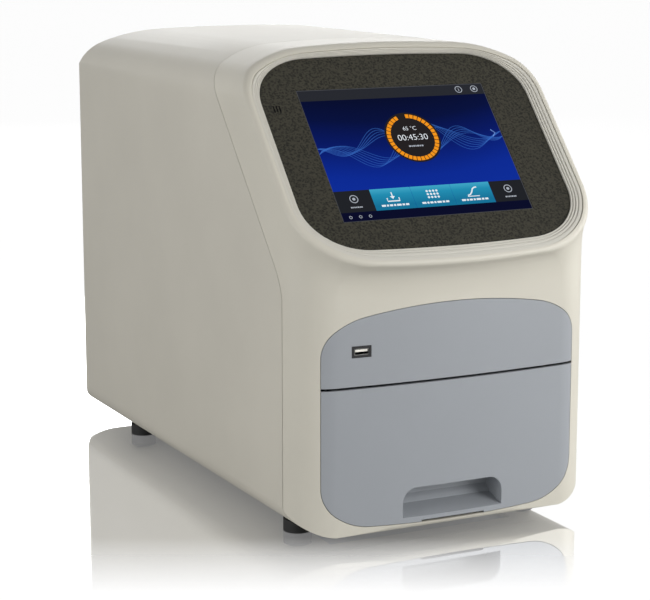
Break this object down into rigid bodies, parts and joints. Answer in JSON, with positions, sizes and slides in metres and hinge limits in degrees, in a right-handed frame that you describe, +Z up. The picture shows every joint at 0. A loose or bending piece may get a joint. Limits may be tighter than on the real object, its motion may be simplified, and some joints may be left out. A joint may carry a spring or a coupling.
{
  "type": "real-time PCR machine",
  "caption": "Bench-top real-time PCR instrument: sloping touch screen, moulded housing, sliding sample drawer with a thermal block, lifting heated cover and filter-wheel optics.",
  "frame": {"origin": "on the bench, under the middle of the machine", "axes": "+Z up, the screen and drawer face -Y, +X to the right seen from the front, +Y along the depth"},
  "size_m": [0.27, 0.506, 0.382],
  "materials": {
    "cover_plastic": "light warm grey moulded shell, fine texture",
    "fascia_plastic": "light warm grey moulded fascia, fine texture",
    "surround_plastic": "light satin ring",
    "bezel_plastic": "dark mottled leather-grain panel",
    "screen_glass": "cover glass over the lit screen",
    "panel_plastic": "cool grey satin panels",
    "dark_plastic": "black moulded plastic",
    "inner_plastic": "dark grey moulded plastic",
    "sheet_steel": "plated sheet steel",
    "rail_steel": "turned and drawn steel",
    "block_metal": "machined aluminium",
    "bronze": "bearing bronze and contact brass",
    "ceramic_pads": "white ceramic element",
    "board_green": "green circuit board",
    "optic_glass": "clear and coated glass",
    "mirror_glass": "front-silvered mirror",
    "screen_case": "screen module case",
    "socket_metal": "plated socket shells",
    "foot_rubber": "black rubber"
  },
  "bodies": {
    "housing": {"main_cover": "cover_plastic", "front_fascia": "fascia_plastic", "screen_surround": "surround_plastic", "screen_bezel": "bezel_plastic", "touch_glass": "screen_glass", "screen_module": "screen_case", "screen_bracket": "sheet_steel", "screen_board": "board_green", "upper_panel": "panel_plastic", "front_usb_socket": "dark_plastic", "rail_left": "rail_steel", "rail_right": "rail_steel", "base_plate": "sheet_steel", "side_channel_left": "sheet_steel", "side_channel_right": "sheet_steel", "optics_deck": "sheet_steel", "guide_rods": "rail_steel", "lift_motor": "rail_steel", "optics_shroud": "inner_plastic", "field_lens": "optic_glass", "fold_mirror": "mirror_glass", "wheel_bracket": "sheet_steel", "wheel_motor": "rail_steel", "camera_lens": "dark_plastic", "camera": "block_metal", "lamp_module": "block_metal", "rear_panel": "sheet_steel", "rear_screws": "rail_steel", "mains_inlet": "dark_plastic", "inlet_pins": "bronze", "switch_frame": "dark_plastic", "rear_usb_sockets": "socket_metal", "network_socket": "socket_metal", "port_board": "board_green", "exhaust_fan_frame": "dark_plastic", "power_supply": "sheet_steel", "main_board": "board_green", "driver_board": "board_green", "foot_front_left": "foot_rubber", "foot_front_right": "foot_rubber", "foot_rear_left": "foot_rubber", "foot_rear_right": "foot_rubber"},
    "drawer": {"drawer_front": "panel_plastic", "drawer_tray": "sheet_steel", "drawer_deck": "inner_plastic", "slide_left": "rail_steel", "slide_right": "rail_steel", "heat_sink": "block_metal", "peltier_elements": "ceramic_pads", "sample_block": "block_metal", "block_fan_frame": "dark_plastic"},
    "block_fan": {"block_fan_rotor": "dark_plastic"},
    "heated_cover": {"cover_carrier": "inner_plastic", "cover_bushes": "bronze", "heater_plate": "block_metal"},
    "lift_screw": {"lift_screw": "rail_steel"},
    "filter_wheel": {"filter_wheel": "block_metal", "emission_filters": "optic_glass"},
    "exhaust_fan": {"exhaust_fan_rotor": "dark_plastic"},
    "power_rocker": {"power_rocker": "dark_plastic"}
  },
  "joints": [
    {"name": "drawer_slide", "type": "slide", "parent": "housing", "child": "drawer", "axis": [0, -1, 0], "range_m": [0, 0.23]},
    {"name": "cover_lift", "type": "slide", "parent": "housing", "child": "heated_cover", "axis": [0, 0, -1], "range_m": [0, 0.01]},
    {"name": "lift_screw_turn", "type": "hinge", "parent": "housing", "child": "lift_screw", "pos_m": [0, -0.03, 0.15], "axis": [0, 0, 1], "range_deg": [0, 360]},
    {"name": "filter_wheel_turn", "type": "hinge", "parent": "housing", "child": "filter_wheel", "pos_m": [0.038, -0.0055, 0.24], "axis": [0, 1, 0], "continuous": true},
    {"name": "exhaust_fan_spin", "type": "hinge", "parent": "housing", "child": "exhaust_fan", "pos_m": [0.038, 0.235, 0.136], "axis": [0, 1, 0], "continuous": true},
    {"name": "block_fan_spin", "type": "hinge", "parent": "drawer", "child": "block_fan", "pos_m": [0, -0.03, 0.058], "axis": [0, 1, 0], "continuous": true},
    {"name": "power_rocker_tilt", "type": "hinge", "parent": "housing", "child": "power_rocker", "pos_m": [-0.015, 0.2485, 0.066], "axis": [1, 0, 0], "range_deg": [0, 18]}
  ],
  "couplings": [
    {"joint": "lift_screw_turn", "follows": "cover_lift", "rad_per_m": 628}
  ]
}
